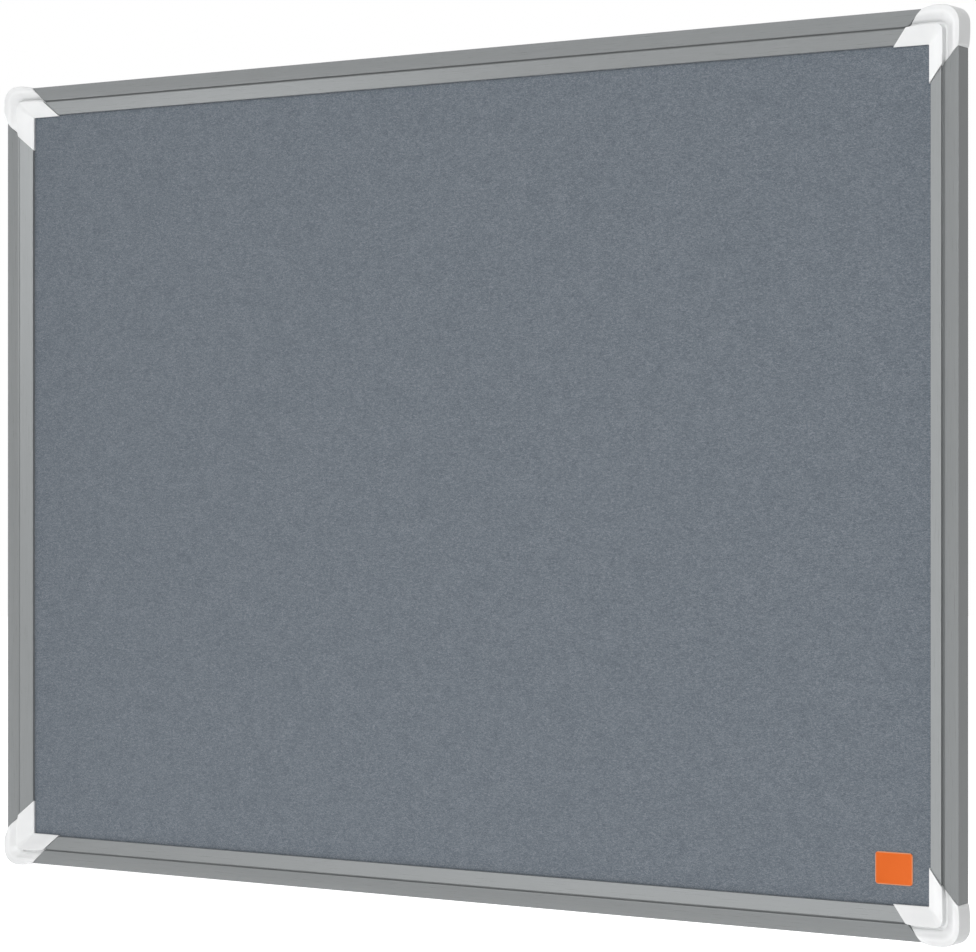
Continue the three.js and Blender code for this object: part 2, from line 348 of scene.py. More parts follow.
def makeAluminium(name, alongZ):
    # Satin anodised skin with fine drawing lines along the rail
    material, tree, surface = newMaterial(name)
    finish = aluminiumFinish
    base = finish["colour"]
    lengthwise = 1000 * finish["lineLength"]
    stretch = (1000, 1000, lengthwise) if alongZ else (lengthwise, 1000, 1000)
    lines = noiseAt(tree, objectPlace(tree, stretch), finish["linesPerMm"], 3.0, 0.6)
    grain = placeGroup(tree, fineGrain, Place=objectPlace(tree), **finish["grain"])
    wear = placeGroup(tree, edgeWear, **finish["wornSpan"])
    plain = blendColours(
        tree, spread(tree, lines, *noiseSpan),
        toned(base, 1 - finish["lineTone"]), toned(base, 1 + finish["lineTone"]),
    )
    share = spread(tree, grain.outputs["Tone"], 0, 1, 0.0, finish["shadeShare"])
    shade = blendColours(tree, share, plain, toned(base, finish["shadeTone"]))
    share = maths(tree, "MULTIPLY", wear.outputs["Mask"], finish["wornShare"])
    worn = blendColours(tree, share, shade, toned(base, finish["wornTone"]))
    # Painted shade: the rail's outer side, picked out by the way it faces, takes a darker plain
    # colour than its front
    axis = "X" if alongZ else "Z"
    normal = addNode(tree, "ShaderNodeNewGeometry").outputs["Normal"]
    facing = addNode(tree, "ShaderNodeSeparateXYZ", {"Vector": normal})
    lies = addNode(tree, "ShaderNodeSeparateXYZ", {"Vector": objectPlace(tree)})
    side = maths(tree, "SIGN", lies.outputs[axis], 0.0)
    outward = maths(tree, "MULTIPLY", facing.outputs[axis], side)
    withPaintedSideShade = blendColours(tree, spread(tree, outward, *finish["outerSidePaintedShadeSpan"]), worn,
                         toned(base, finish["outerSidePaintedShade"]))
    tree.links.new(withPaintedSideShade, surface.inputs["Base Color"])
    surface.inputs["Metallic"].default_value = finish["metallic"]
    surface.inputs["Specular IOR Level"].default_value = finish["gloss"]
    rough = spread(tree, lines, *noiseSpan, *finish["roughness"])
    tree.links.new(rough, surface.inputs["Roughness"])
    height = weighted(tree, (lines, 0.7), (grain.outputs["Height"], 0.3))
    bumpFrom(tree, surface, height, finish["bump"], finish["depth"])
    return material


plasticFinish = {
    "colour": (0.745, 0.752, 0.753),
    "shade": (0.718925, 0.72568, 0.73041),
    "worn": (0.8, 0.805, 0.81),
    "wornShare": 0.5,
    "wornSpan": {"Low": 0.52, "High": 0.64},
    "grain": {"Coarse": 0.12, "Fine": 5.0},
    "gloss": 0.5,
    "roughness": (0.3, 0.4),
    "bump": 0.15,
    "depth": 0.03,
}


def makePlastic():
    # Satin white moulding with a faint spark-eroded grain
    material, tree, surface = newMaterial("white plastic")
    grain = placeGroup(tree, fineGrain, Place=objectPlace(tree), **plasticFinish["grain"])
    wear = placeGroup(tree, edgeWear, **plasticFinish["wornSpan"])
    base = blendColours(tree, grain.outputs["Tone"], colour(*plasticFinish["shade"]),
                        colour(*plasticFinish["colour"]))
    share = maths(tree, "MULTIPLY", wear.outputs["Mask"], plasticFinish["wornShare"])
    base = blendColours(tree, share, base, colour(*plasticFinish["worn"]))
    tree.links.new(base, surface.inputs["Base Color"])
    rough = spread(tree, grain.outputs["Height"], *noiseSpan, *plasticFinish["roughness"])
    tree.links.new(rough, surface.inputs["Roughness"])
    surface.inputs["Specular IOR Level"].default_value = plasticFinish["gloss"]
    bumpFrom(tree, surface, grain.outputs["Height"], plasticFinish["bump"], plasticFinish["depth"])
    return material


tabFinish = {
    "ground": (0.745, 0.15, 0.022),
    # The darker tone is painted shade, laid into the dips between threads
    "shade": (0.63, 0.11, 0.015),
    "rim": (0.61, 0.27, 0.15),
    "rimWidth": 0.5,
    "rimBlur": 0.1,
    "pitch": 0.42,
    "fuzz": 6.0,
    "threadPaintedShadeSpan": (0.1, 0.8),
    "roughness": 0.8,
    "gloss": 0.2,
    "sheen": 0.05,
    "bump": 0.5,
    "depth": 0.12,
}


def makeTabWeave():
    # Plain weave, whose threads pass over and under each other, with painted shade in the dips
    # between threads and a paler bound edge
    material, tree, surface = newMaterial("orange weave")
    place = objectPlace(tree)
    split = addNode(tree, "ShaderNodeSeparateXYZ", {"Vector": place})
    waves, edges = [], []
    for axis, low, high in (("X", tabLow.x, tabHigh.x), ("Z", tabLow.z, tabHigh.z)):
        angle = maths(tree, "MULTIPLY", split.outputs[axis], math.pi / tabFinish["pitch"])
        waves.append(maths(tree, "SINE", angle, 0.0))
        low, high = low / mm, high / mm
        fromMiddle = maths(tree, "SUBTRACT", split.outputs[axis], (low + high) / 2)
        fromMiddle = maths(tree, "ABSOLUTE", fromMiddle, 0.0)
        rimStart = (high - low) / 2 - tabFinish["rimWidth"]
        edges.append(maths(tree, "SUBTRACT", fromMiddle, rimStart))
    threads = maths(tree, "ABSOLUTE", maths(tree, "MULTIPLY", waves[0], waves[1]), 0.0)
    fuzz = noiseAt(tree, place, tabFinish["fuzz"], 3.0, 0.6)
    height = weighted(tree, (threads, 0.7), (fuzz, 0.3))
    # The weave's pattern takes the darker tone where the threads dip: painted shade between threads
    base = blendColours(tree, spread(tree, height, *tabFinish["threadPaintedShadeSpan"]),
                        colour(*tabFinish["shade"]), colour(*tabFinish["ground"]))
    blur = tabFinish["rimBlur"]
    rim = spread(tree, maths(tree, "MAXIMUM", edges[0], edges[1]), -blur, blur)
    base = blendColours(tree, rim, base, colour(*tabFinish["rim"]))
    tree.links.new(base, surface.inputs["Base Color"])
    surface.inputs["Roughness"].default_value = tabFinish["roughness"]
    surface.inputs["Specular IOR Level"].default_value = tabFinish["gloss"]
    surface.inputs["Sheen Weight"].default_value = tabFinish["sheen"]
    bumpFrom(tree, surface, height, tabFinish["bump"], tabFinish["depth"])
    return material


boardFinishes = {
    "softboard": {
        "dark": (0.3, 0.18, 0.08), "light": (0.5, 0.32, 0.15),
        "clump": 0.5, "stroke": 1.2, "fuzz": 3.0, "roughness": 0.85, "bump": 0.5, "depth": 0.12,
    },
    "grey backing": {
        "dark": (0.22, 0.23, 0.24), "light": (0.3, 0.31, 0.32),
        "clump": 0.08, "stroke": 1.2, "fuzz": 5.0, "roughness": 0.85, "bump": 0.15, "depth": 0.12,
    },
}


def makePressedBoard(name):
    # Core and backing: pressed fibre in two tones
    material, tree, surface = newMaterial(name)
    finish = boardFinishes[name]
    look = placeGroup(tree, fibres, Place=objectPlace(tree), Clump=finish["clump"],
                      Stroke=finish["stroke"], Fuzz=finish["fuzz"])
    base = blendColours(
        tree, look.outputs["Tone"], colour(*finish["dark"]), colour(*finish["light"])
    )
    tree.links.new(base, surface.inputs["Base Color"])
    surface.inputs["Roughness"].default_value = finish["roughness"]
    bumpFrom(tree, surface, look.outputs["Height"], finish["bump"], finish["depth"])
    return material


hardwareFinishes = {
    "zinc plated steel": {
        "colour": (0.5, 0.51, 0.52), "metallic": 1.0, "roughness": (0.28, 0.42), "coarse": 0.6,
    },
    "natural nylon": {
        "colour": (0.68, 0.69, 0.66), "metallic": 0.0, "roughness": (0.4, 0.5), "coarse": 0.3,
    },
}
hardwareLook = {
    "fine": 4.0,
    "shadeTone": 0.85,
    "wornTone": 1.25,
    "wornShare": 0.5,
    "wornSpan": {"Low": 0.52, "High": 0.65},
    "bump": 0.2,
    "depth": 0.03,
}


def makeHardware(name):
    # Screws and clips: an even grain, with lighter edges
    material, tree, surface = newMaterial(name)
    finish = hardwareFinishes[name]
    grain = placeGroup(tree, fineGrain, Place=objectPlace(tree), Coarse=finish["coarse"],
                       Fine=hardwareLook["fine"])
    wear = placeGroup(tree, edgeWear, **hardwareLook["wornSpan"])
    tone = blendColours(
        tree, grain.outputs["Tone"], toned(finish["colour"], hardwareLook["shadeTone"]),
        colour(*finish["colour"]),
    )
    share = maths(tree, "MULTIPLY", wear.outputs["Mask"], hardwareLook["wornShare"])
    worn = blendColours(tree, share, tone, toned(finish["colour"], hardwareLook["wornTone"]))
    tree.links.new(worn, surface.inputs["Base Color"])
    surface.inputs["Metallic"].default_value = finish["metallic"]
    rough = spread(tree, grain.outputs["Tone"], 0, 1, *finish["roughness"])
    tree.links.new(rough, surface.inputs["Roughness"])
    bumpFrom(tree, surface, grain.outputs["Height"], hardwareLook["bump"], hardwareLook["depth"])
    return material


finishes = {
    "felt": makeFelt(),
    "aluminiumAcross": makeAluminium("anodised aluminium across", False),
    "aluminiumUpright": makeAluminium("anodised aluminium upright", True),
    "plastic": makePlastic(),
    "tab": makeTabWeave(),
    "softboard": makePressedBoard("softboard"),
    "backing": makePressedBoard("grey backing"),
    "steel": makeHardware("zinc plated steel"),
    "nylon": makeHardware("natural nylon"),
}
print("finishes made")


# Helpers for new pieces

def finishPiece(name, bm, materials, smoothAngle=35):
    mesh = bpy.data.meshes.new(name)
    bm.to_mesh(mesh)
    bm.free()
    piece = bpy.data.objects.new(name, mesh)
    bpy.context.scene.collection.objects.link(piece)
    for material in materials:
        mesh.materials.append(material)
    shadeByAngle(mesh, smoothAngle)
    return piece


def shadeByAngle(mesh, smoothAngle):
    mesh.shade_smooth()
    mesh.set_sharp_from_angle(angle=math.radians(smoothAngle))


def keepFlatsFlat(piece):
    # Flat faces keep their own normal, and only the rounded edges turn the light
    modifier = piece.modifiers.new("flat faces", "WEIGHTED_NORMAL")
    modifier.keep_sharp = True
    modifier.weight = 100


def section(bm, corners):
    # A flat face through (u, n, roundness) corners, each rounded over by its own roundness
    verts = [bm.verts.new((u, n, 0)) for u, n, _ in corners]
    bm.faces.new(verts)
    for roundness in sorted({corner[2] for corner in corners if corner[2] > 0}):
        rounded = [vert for vert, corner in zip(verts, corners) if corner[2] == roundness]
        bmesh.ops.bevel(
            bm, geom=rounded, offset=roundness, offset_type="OFFSET", segments=4, profile=0.5,
            affect="VERTICES", material=-1, clamp_overlap=False,
        )
    return bm.faces[:][0]


def extrudeAlong(bm, face, steps, length):
    # Pushes the section out along Z in even steps, and leaves a closed solid
    for step in range(steps):
        made = bmesh.ops.extrude_face_region(bm, geom=[face])["geom"]
        moved = [item for item in made if isinstance(item, bmesh.types.BMVert)]
        bmesh.ops.translate(bm, verts=moved, vec=(0, 0, length / steps))
        if step > 0:
            bmesh.ops.delete(bm, geom=[face], context="FACES_ONLY")
        face = next(item for item in made if isinstance(item, bmesh.types.BMFace))


def edgeDirection(edge):
    return (edge.verts[0].co - edge.verts[1].co).normalized()


def quarterTurn(index):
    return Matrix.Rotation(index * math.pi / 2, 4, "Y")


# Rails

railShape = {
    "wall": 1.2,
    "flange": 1.0,
    "flangeReach": 4.0,
    "webIn": 8.45,
    "bandFlat": (3.5, 0.17),
    "bandMiddle": (5.9, 0.42),
    "bandEnd": (7.65, 0.84),
    "grooveIn": 8.35,
    "grooveFloor": 9.9,
    "crestIn": 9.0,
    "crestTop": 11.44,
    "lipTop": 8.02,
    "lipBottom": 6.3,
    "toe": (14.9, 7.27),
    "underSlope": 0.482,
    "ceiling": 8.9,
    "mouthLip": 0.9,
    "fineRound": 0.1,
    "edgeRound": 0.16,
    "bandRound": 0.9,
    "bandEndRound": 0.3,
    "lipRound": 0.22,
    "underLipRound": 0.12,
    "flangeRound": 0.15,
    "ceilingRound": 0.2,
}


def railBack(shape, channel, ceiling):
    # Back of the section, from under the lip to the outer edge
    web = shape["webIn"]
    flangeEnd = web + shape["flangeReach"]
    toeIn, toeTop = shape["toe"]
    pocketIn = toeIn - (ceiling - toeTop) / shape["underSlope"]
    rounded = shape["flangeRound"]
    return [
        (board["railWidth"], shape["lipBottom"], shape["underLipRound"]),
        (toeIn, shape["lipBottom"], 0),
        (toeIn, toeTop, 0),
        (pocketIn, ceiling, 0),
        (web, ceiling, 0),
        (web, shape["flange"], 0),
        (flangeEnd, shape["flange"], rounded),
        (flangeEnd, 0, rounded),
        *channel,
    ]


def railChannel(shape):
    inner = shape["webIn"] - shape["wall"]
    outer = shape["wall"]
    lip = shape["mouthLip"]
    rounded = shape["flangeRound"]
    return [
        (inner - lip, 0, rounded),
        (inner - lip, shape["flange"], rounded),
        (inner, shape["flange"], 0),
        (inner, shape["ceiling"], shape["ceilingRound"]),
        (outer, shape["ceiling"], shape["ceilingRound"]),
        (outer, shape["flange"], 0),
        (outer + lip, shape["flange"], rounded),
        (outer + lip, 0, rounded),
    ]


def railFront(shape):
    # The band's points are given as (u, fall below the rail's edge)
    top = board["railDepth"]
    band = [
        (*shape["bandFlat"], shape["bandRound"]),
        (*shape["bandMiddle"], shape["bandRound"]),
        (*shape["bandEnd"], shape["bandEndRound"]),
    ]
    return [
        (0, 0, shape["fineRound"]),
        (0, top, shape["edgeRound"]),
        *((u, top - fall, rounded) for u, fall, rounded in band),
        (shape["grooveIn"], shape["grooveFloor"], shape["fineRound"]),
        (shape["crestIn"], shape["grooveFloor"], shape["fineRound"]),
        (shape["crestIn"], shape["crestTop"], shape["edgeRound"]),
        (board["railWidth"], shape["lipTop"], shape["lipRound"]),
    ]


def makeRail(name, index, halfLength, outward, material):
    # Drawn along Z, laid along X, cut at both ends on the mitre, then turned to its side
    bm = bmesh.new()
    back = railBack(railShape, railChannel(railShape), railShape["ceiling"])
    face = section(bm, railFront(railShape) + back)
    extrudeAlong(bm, face, 2, 2 * halfLength)
    for vert in bm.verts:
        u, n, along = vert.co
        vert.co = (along - halfLength, -n, -u)
    end = halfLength - board["mitre"]
    for side in (-1, 1):
        cut = bmesh.ops.bisect_plane(
            bm, geom=bm.verts[:] + bm.edges[:] + bm.faces[:], dist=1e-5,
            plane_co=(side * end, 0, 0), plane_no=(side, 0, -1), clear_outer=True,
        )["geom_cut"]
        rim = [item for item in cut if isinstance(item, bmesh.types.BMEdge)]
        bmesh.ops.contextual_create(bm, geom=rim)
    bmesh.ops.recalc_face_normals(bm, faces=bm.faces[:])
    bmesh.ops.translate(bm, verts=bm.verts[:], vec=(0, 0, outward))
    bmesh.ops.transform(bm, verts=bm.verts[:], matrix=Matrix.Scale(mm, 4) @ quarterTurn(index))
    rail = finishPiece(name, bm, [material])
    keepFlatsFlat(rail)
    return rail


sides = [
    ("top", 0, board["halfWidth"], board["halfHeight"]),
    ("right", 1, board["halfHeight"], board["halfWidth"]),
    ("bottom", 2, board["halfWidth"], board["halfHeight"]),
    ("left", 3, board["halfHeight"], board["halfWidth"]),
]
for side, index, halfLength, outward in sides:
    upright = side in ("left", "right")
    material = finishes["aluminiumUpright" if upright else "aluminiumAcross"]
    rail = makeRail(f"frame_rail_{side}", index, halfLength, outward, material)
    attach(rail, "board")
    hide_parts(f"rail_{side}")
print("rails made")


# Corner mouldings. Points are (u, n) and their rounding, and the bands, reaches and slacks say
# which points of the section swell, rise or flare. Growth is the share of an arm that it takes.

capShape = {
    "jointGap": 0.15,
    "edgeTop": 11.9,
    "bandPoints": [(1.3, 12.05, 0.8), (2.7, 12.1, 0.7), (5.2, 10.5, 0.9)],
    "valley": [(6.4, 9.5, 0.3), (6.7, 9.0, 0.15), (8.1, 9.0, 0.15)],
    "crest": (8.3, 12.4),
    "crown": (12.4, 10.5),
    "lipTop": 8.1,
    "edgeRound": 0.3,
    "crestRound": 0.4,
    "crownRound": 2.2,
    "lipRound": 0.35,
    "mouthRound": 0.15,
    "hollowRound": 0.3,
    "hollowCeiling": 7.6,
    "pocketCeiling": 8.0,
    "frontAbove": 0.05,
    "backProud": 0.62,
    "backSwell": 0.58,
    "frontProud": 0.2,
    "frontSwell": 1.0,
    "swellWidth": 2.7,
    "edgeRise": 1.7,
    "riseWidth": 4.0,
    "crestRise": 0.75,
    "crestShift": 0.55,
    "crestReach": (3, 8),
    "crestBand": 11,
    "edgeGrowth": 0.6,
    "crestGrowth": 0.4,
    "lipFlare": 0.85,
    "lipFootFlare": 0.5,
    "lipReach": 2.5,
    "lipSlack": 0.1,
    "lipBand": 2,
    "lipEdge": 0.5,
    "footHeight": 1,
    "skin": 0.8,
    "sideBand": (1, 3),
    "backRadius": 6.95,
    "frontRadius": 8.0,
    "crestRadius": 2.9,
    "innerRadius": 0.5,
    "armSteps": 10,
    "arcSteps": 16,
}
lugShape = {
    "reach": 28.0,
    "clearance": 0.2,
    "taper": 1.2,
    "edge": 0.3,
    "rootBite": 0.4,
    "holeRadius": 1.7,
    "holeFromTip": 9.0,
    "holeDepth": 20,
    "holeMiddle": 5,
}


def capFront(shape):
    return [
        (0, 0, shape["edgeRound"]),
        (0, shape["edgeTop"], shape["edgeRound"]),
        *shape["bandPoints"],
        *shape["valley"],
        (*shape["crest"], shape["crestRound"]),
        (*shape["crown"], shape["crownRound"]),
        (board["railWidth"], shape["lipTop"], shape["lipRound"]),
    ]


def capHollow(shape):
    inner = railShape["webIn"] - railShape["wall"]
    outer = railShape["wall"]
    ceiling = shape["hollowCeiling"]
    mouth, hollow = shape["mouthRound"], shape["hollowRound"]
    return [
        (inner, 0, mouth), (inner, ceiling, hollow), (outer, ceiling, hollow), (outer, 0, mouth),
    ]


def isAboveCeiling(n, shape):
    return n > shape["pocketCeiling"] + shape["frontAbove"]


def capRadius(u, n, shape):
    # The radius that a point of the section is taken round the corner with, before it swells
    crestIn = shape["crest"][0]
    skin, band = shape["sideBand"]
    if isAboveCeiling(n, shape) and u < crestIn:
        return shape["frontRadius"] + (shape["crestRadius"] - shape["frontRadius"]) * u / crestIn
    if isAboveCeiling(n, shape) or u > board["railWidth"] - shape["lipBand"]:
        share = min(1, (u - crestIn) / (board["railWidth"] - crestIn))
        return shape["crestRadius"] + (shape["innerRadius"] - shape["crestRadius"]) * share
    if u < band:
        back = shape["backRadius"] - u
        share = n / shape["edgeTop"] if u < skin else 0
        return back + (shape["frontRadius"] - back) * share
    return shape["innerRadius"]


def easedGrowth(arm, reach):
    return math.sin(min(1, arm / reach) * math.pi / 2)


def swellPoint(u, n, arm, shape):
    # How far a point moves outward, up and in under the lip, "arm" of the way to the corner
    growth = easedGrowth(arm, shape["edgeGrowth"])
    early = easedGrowth(arm, shape["crestGrowth"])
    isFront = isAboveCeiling(n, shape) and u < board["railWidth"] - shape["lipEdge"]
    isEdge = isFront or u < shape["skin"]
    crestIn = shape["crest"][0]
    height = min(1, n / shape["edgeTop"])
    outward, lift, crestShare = 0, 0, 0
    if isEdge:
        back = shape["backProud"] + growth * shape["backSwell"]
        front = shape["frontProud"] + growth * shape["frontSwell"]
        outward = max(0, 1 - u / shape["swellWidth"]) * (back + (front - back) * height)
        lift = max(0, 1 - u / shape["riseWidth"]) * growth * shape["edgeRise"] * height
    if isFront:
        before, after = shape["crestReach"]
        crestShare = max(0, 1 - abs(u - crestIn) / (before if u < crestIn else after))
    outward += crestShare * early * shape["crestShift"]
    if n > shape["crestBand"] or u > crestIn:
        lift += crestShare * early * shape["crestRise"]
    isLip = n > railShape["lipBottom"] - shape["lipSlack"]
    lipShare = max(0, 1 - (board["railWidth"] - u) / shape["lipReach"]) if isLip else 0
    isFoot = n < railShape["lipBottom"] + shape["footHeight"]
    flare = lipShare * (shape["lipFootFlare"] if isFoot else shape["lipFlare"])
    return outward, lift, flare


def bendPoint(u, n, step, shape):
    # Where a point of the straight section goes, with the corner at the origin and the arms along
    # +X and -Z. The moulding swells and rises towards the middle of the corner.
    last = 2 * shape["armSteps"] + shape["arcSteps"]
    arm = min(1, min(step, last - step) / shape["armSteps"])
    turn = min(1, max(0, (step - shape["armSteps"]) / shape["arcSteps"]))
    outward, lift, flare = swellPoint(u, n, arm, shape)
    up = n + lift
    radius = capRadius(u, n, shape)
    centre = u + flare + radius
    if arm < 1:
        reach = board["mitre"] - shape["jointGap"]
        inward = u + flare - outward
        along = reach + inward + (centre - reach - inward) * arm
        x, z = (inward, -along) if turn == 0 else (along, -inward)
        return Vector((x, -up, z))
    angle = (1 - turn) * math.pi / 2
    swept = radius + outward
    return Vector((centre - swept * math.sin(angle), -up, swept * math.cos(angle) - centre))


def joinSolid(base, extra, how):
    # Adds or cuts one closed piece into another, and removes the second
    modifier = base.modifiers.new("join", "BOOLEAN")
    modifier.operation = how
    modifier.object = extra
    modifier.solver = "EXACT"
    joined = base.evaluated_get(bpy.context.evaluated_depsgraph_get())
    mesh = bpy.data.meshes.new_from_object(joined)
    base.modifiers.clear()
    base.data = mesh
    bpy.data.objects.remove(extra)


def makeLug():
    # One arm's tongue along +X, from inside the moulding to its chamfered tip
    inner = railShape["webIn"] - railShape["wall"]
    outer = railShape["wall"]
    clear = lugShape["clearance"]
    start = capShape["backRadius"]
    end = board["mitre"] - capShape["jointGap"] + lugShape["reach"]
    bm = bmesh.new()
    bmesh.ops.create_cube(bm, size=1)
    size = Vector((end - start, railShape["ceiling"] - railShape["flange"] - 2 * clear,
                   inner - outer - 2 * clear))
    middle = Vector(((start + end) / 2, -(railShape["ceiling"] + railShape["flange"]) / 2,
                     -(inner + outer) / 2))
    bmesh.ops.scale(bm, verts=bm.verts[:], vec=size)
    bmesh.ops.translate(bm, verts=bm.verts[:], vec=middle)
    tip = [face for face in bm.faces if face.normal.x > 0.9]
    bmesh.ops.bevel(bm, geom=tip[0].edges[:], offset=lugShape["taper"], segments=1, profile=0.5,
                    affect="EDGES", material=-1)
    long = [edge for edge in bm.edges if abs(edgeDirection(edge).x) > 0.9]
    bmesh.ops.bevel(bm, geom=long, offset=lugShape["edge"], segments=3, profile=0.5,
                    affect="EDGES", material=-1)
    return finishPiece("lug", bm, [])


def makeLugRoot():
    # Fills the moulding's hollow behind the mitred end
    bite = lugShape["rootBite"]
    inner = railShape["webIn"] - railShape["wall"] + bite
    outer = railShape["wall"] - bite
    reach = board["mitre"] - capShape["jointGap"]
    low, high = railShape["flange"] - bite, capShape["hollowCeiling"] + bite
    start = capShape["backRadius"]
    bm = bmesh.new()
    corners = [(outer, start), (inner, start), (inner, reach + inner), (outer, reach + outer)]
    face = bm.faces.new([bm.verts.new((along, -low, -u)) for u, along in corners])
    made = bmesh.ops.extrude_face_region(bm, geom=[face])["geom"]
    moved = [item for item in made if isinstance(item, bmesh.types.BMVert)]
    bmesh.ops.translate(bm, verts=moved, vec=(0, low - high, 0))
    bmesh.ops.recalc_face_normals(bm, faces=bm.faces[:])
    return finishPiece("lugRoot", bm, [])


def makeScrewHole():
    along = board["mitre"] - capShape["jointGap"] + lugShape["reach"] - lugShape["holeFromTip"]
    place = (along, -lugShape["holeMiddle"], -railShape["webIn"] / 2)
    radius = lugShape["holeRadius"]
    bm = bmesh.new()
    bmesh.ops.create_cone(
        bm, cap_ends=True, segments=32, radius1=radius, radius2=radius, depth=lugShape["holeDepth"],
        matrix=Matrix.Translation(place) @ Matrix.Rotation(math.pi / 2, 4, "X"),
    )
    return finishPiece("screwHole", bm, [])


def onOtherArm(piece):
    # The arms mirror each other across the diagonal
    mirror = Matrix(((0, 0, -1, 0), (0, 1, 0, 0), (-1, 0, 0, 0), (0, 0, 0, 1)))
    piece.data.transform(mirror)
    piece.data.flip_normals()
    return piece


def makeCornerMesh():
    bm = bmesh.new()
    back = railBack(railShape, capHollow(capShape), capShape["pocketCeiling"])
    face = section(bm, capFront(capShape) + back)
    last = 2 * capShape["armSteps"] + capShape["arcSteps"]
    extrudeAlong(bm, face, last, last)
    for vert in bm.verts:
        u, n, step = vert.co
        vert.co = bendPoint(u, n, round(step), capShape)
    bmesh.ops.recalc_face_normals(bm, faces=bm.faces[:])
    moulding = finishPiece("moulding", bm, [])
    for extra in (makeLug(), onOtherArm(makeLug()), makeLugRoot(), onOtherArm(makeLugRoot())):
        joinSolid(moulding, extra, "UNION")
    for extra in (makeScrewHole(), onOtherArm(makeScrewHole())):
        joinSolid(moulding, extra, "DIFFERENCE")
    mesh = moulding.data
    bpy.data.objects.remove(moulding)
    return mesh


cornerPlaces = [
    ("top_left", -1, 1),
    ("top_right", 1, 1),
    ("bottom_right", 1, -1),
    ("bottom_left", -1, -1),
]
cornerMesh = makeCornerMesh()
for index, (corner, alongX, alongZ) in enumerate(cornerPlaces):
    mesh = cornerMesh.copy()
    place = Vector((alongX * board["halfWidth"], 0, alongZ * board["halfHeight"]))
    mesh.transform(Matrix.Scale(mm, 4) @ Matrix.Translation(place) @ quarterTurn(index))
    piece = bpy.data.objects.new(f"moulded_corner_{corner}", mesh)
    bpy.context.scene.collection.objects.link(piece)
    mesh.materials.clear()
    mesh.materials.append(finishes["plastic"])
    shadeByAngle(mesh, 40)
    keepFlatsFlat(piece)
    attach(piece, "board")
    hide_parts(f"corner_cap_{corner}")
print("corner mouldings made")


# Felt

feltShape = {
    "cellsAcross": 300,
    "cellsUp": 222,
    "unevenness": 0.05,
    "unevenSize": 14.0,
    "setBack": 0.6,
    "fineShare": 0.5,
    "fineTimes": 4.3,
}


def makeFeltSheet():
    # A fine grid in front, a rim, and one flat face behind
    bm = bmesh.new()
    width = feltHigh.x - feltLow.x
    height = feltHigh.z - feltLow.z
    thickness = feltHigh.y - feltLow.y
    bmesh.ops.create_grid(bm, x_segments=feltShape["cellsAcross"], y_segments=feltShape["cellsUp"],
                          size=0.5)
    bmesh.ops.scale(bm, verts=bm.verts[:], vec=(width, height, 1))
    upright = Matrix.Rotation(math.pi / 2, 3, "X")
    bmesh.ops.rotate(bm, verts=bm.verts[:], cent=(0, 0, 0), matrix=upright)
    bmesh.ops.translate(bm, verts=bm.verts[:], vec=(0, feltLow.y, 0))
    front = bm.verts[:]
    rim = [edge for edge in bm.edges if edge.is_boundary]
    made = bmesh.ops.extrude_edge_only(bm, edges=rim)["geom"]
    back = [item for item in made if isinstance(item, bmesh.types.BMVert)]
    bmesh.ops.translate(bm, verts=back, vec=(0, thickness, 0))
    bmesh.ops.contextual_create(bm, geom=[edge for edge in bm.edges if edge.is_boundary])
    amount = feltShape["unevenness"] * mm
    for vert in front:
        place = vert.co / (feltShape["unevenSize"] * mm)
        fine = feltShape["fineShare"] * noise.noise(place * feltShape["fineTimes"])
        vert.co.y += amount * (feltShape["setBack"] + noise.noise(place) + fine)
    bmesh.ops.recalc_face_normals(bm, faces=bm.faces[:])
    return finishPiece("felt_sheet", bm, [finishes["felt"]], 60)


felt = makeFeltSheet()
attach(felt, "board")
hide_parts("felt_face")
print("felt made")


# Tab

tabShape = {
    "cornerRound": 1.9,
    "edgeRound": 0.15,
    "rim": 0.5,
    "rimSlope": 0.2,
    "rimStep": 0.12,
}


def makeTab():
    bm = bmesh.new()
    bmesh.ops.create_cube(bm, size=1)
    bmesh.ops.scale(bm, verts=bm.verts[:], vec=tabHigh - tabLow)
    bmesh.ops.translate(bm, verts=bm.verts[:], vec=(tabHigh + tabLow) / 2)
    upright = [edge for edge in bm.edges if abs(edgeDirection(edge).y) > 0.9]
    bmesh.ops.bevel(bm, geom=upright, offset=tabShape["cornerRound"] * mm, segments=8, profile=0.5,
                    affect="EDGES", material=-1)
    front = [face for face in bm.faces if face.normal.y < -0.9]
    bmesh.ops.bevel(bm, geom=front[0].edges[:], offset=tabShape["edgeRound"] * mm, segments=3,
                    profile=0.5, affect="EDGES", material=-1)
    front = [max((face for face in bm.faces if face.normal.y < -0.9), key=lambda f: f.calc_area())]
    bmesh.ops.inset_region(bm, faces=front, thickness=tabShape["rim"] * mm, depth=0)
    bmesh.ops.inset_region(bm, faces=front, thickness=tabShape["rimSlope"] * mm,
                           depth=-tabShape["rimStep"] * mm)
    bmesh.ops.recalc_face_normals(bm, faces=bm.faces[:])
    return finishPiece("woven_tab", bm, [finishes["tab"]], 40)


tab = makeTab()
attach(tab, "board")
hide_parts("plain_tab")
print("tab made")


# Pieces that keep their CAD shape

def dress(name, material):
    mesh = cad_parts[name].data
    mesh.materials.clear()
    mesh.materials.append(material)


dress("core_board", finishes["softboard"])
dress("backing_sheet", finishes["backing"])
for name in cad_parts:
    if name.startswith("corner_screw"):
        dress(name, finishes["steel"])
    if name.startswith("wall_clip"):
        dress(name, finishes["nylon"])
print("kept pieces dressed")


# Stage and light

stageSettings = {
    "floorHeight": -0.8,
    "floorRadius": 16.0,
    "floorColour": (0.88, 0.88, 0.88),
    "glowNear": 0.3,
    "glowFar": 0.85,
    "glowStart": 1.2,
    "glowEnd": 4.0,
    "worldDim": 0.3,
}
